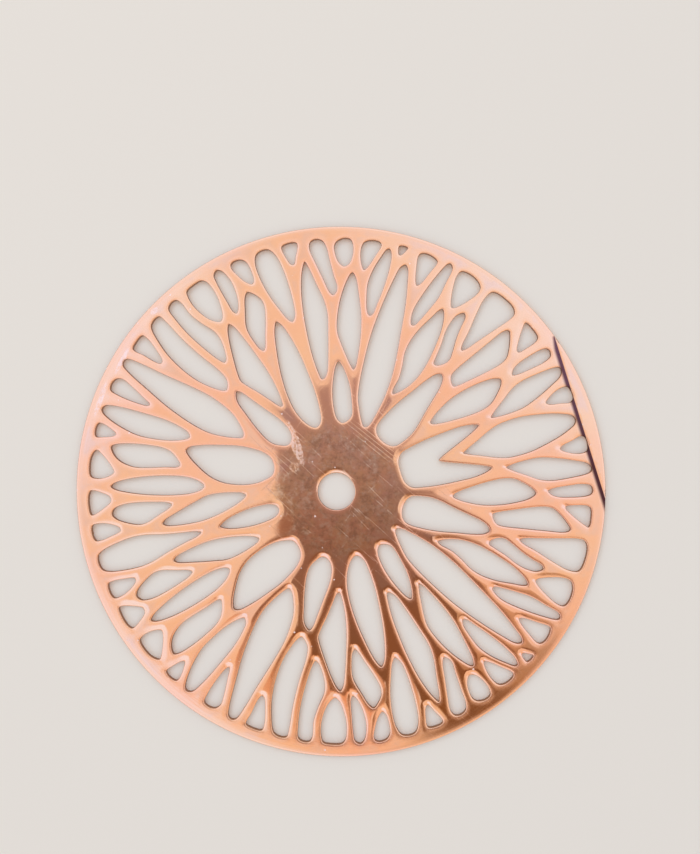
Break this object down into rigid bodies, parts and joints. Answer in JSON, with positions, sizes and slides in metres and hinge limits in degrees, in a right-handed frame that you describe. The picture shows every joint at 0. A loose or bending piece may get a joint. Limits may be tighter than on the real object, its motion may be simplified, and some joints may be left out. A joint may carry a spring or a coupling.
{
  "type": "pierced lattice disc",
  "caption": "Flat round copper disc pierced by a branching, mirror-symmetric lattice of rounded openings around a plain centre hole.",
  "frame": {"origin": "on the axis of the centre hole, on the underside of the disc", "axes": "+Z along the centre hole, out of the polished face; +X to the right and +Y up when the polished face is looked at, with the lattice's mirror line 17 degrees anticlockwise of +X"},
  "size_m": [0.12, 0.12, 0.0012],
  "materials": {
    "copper_sheet": null
  },
  "bodies": {
    "root": {"pierced_disc": "copper_sheet"}
  },
  "joints": []
}
